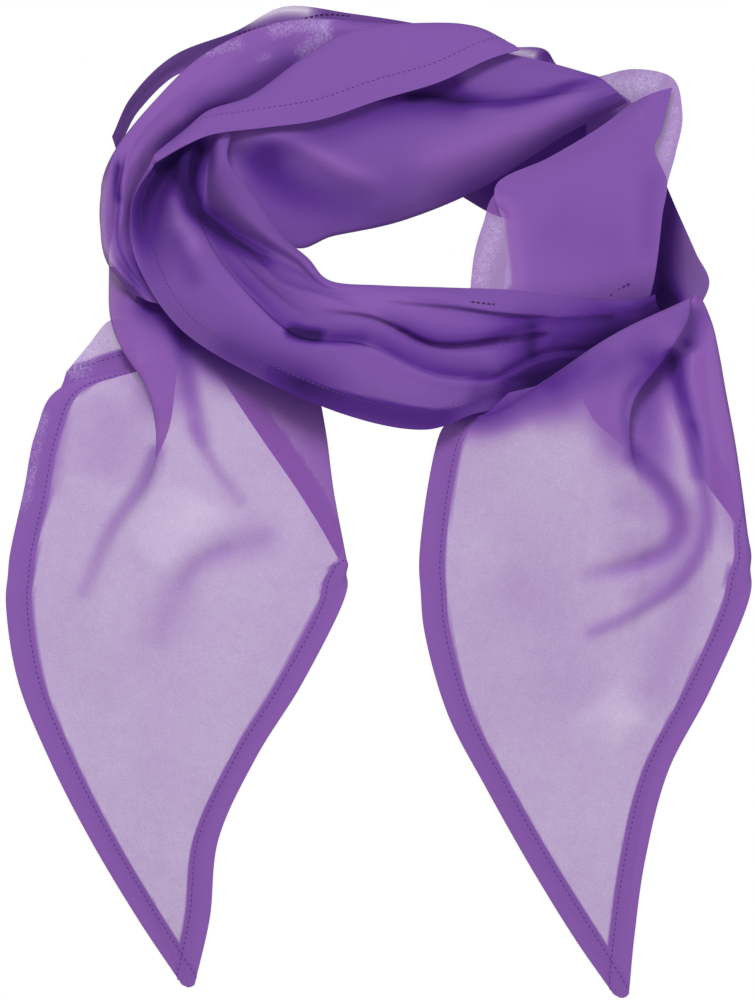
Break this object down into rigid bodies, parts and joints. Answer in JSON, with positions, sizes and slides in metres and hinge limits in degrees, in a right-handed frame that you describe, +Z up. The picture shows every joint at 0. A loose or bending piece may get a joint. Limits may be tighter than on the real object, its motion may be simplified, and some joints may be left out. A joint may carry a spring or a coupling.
{
  "type": "scarf",
  "caption": "Sheer chiffon scarf, worn: wound round an open neck, with both pointed, hemmed tails hanging in front.",
  "frame": {"origin": "where the nape of the wearer's neck rests on the inner face of the back of the wound ring", "axes": "+Z up, +X to the viewer's right when the tails are seen from the front, -Y toward the viewer of the tails"},
  "size_m": [0.3729, 0.2018, 0.4981],
  "materials": {
    "front_band": "matt crepe chiffon",
    "tail_left": "matt crepe chiffon",
    "tail_left_corner": "matt crepe chiffon",
    "tail_right": "matt crepe chiffon",
    "inner_back": "matt crepe chiffon",
    "hem_strip": "matt crepe chiffon",
    "outer_left": "matt crepe chiffon",
    "outer_back": "matt crepe chiffon",
    "outer_right": "matt crepe chiffon",
    "flap": "matt crepe chiffon",
    "right_turn": "matt crepe chiffon"
  },
  "bodies": {
    "root": {"front_band": "front_band", "tail_left": "tail_left", "tail_left_corner": "tail_left_corner", "tail_right": "tail_right", "inner_back": "inner_back", "hem_strip": "hem_strip", "outer_left": "outer_left", "outer_back": "outer_back", "outer_right": "outer_right", "flap": "flap", "right_turn": "right_turn"}
  },
  "joints": []
}
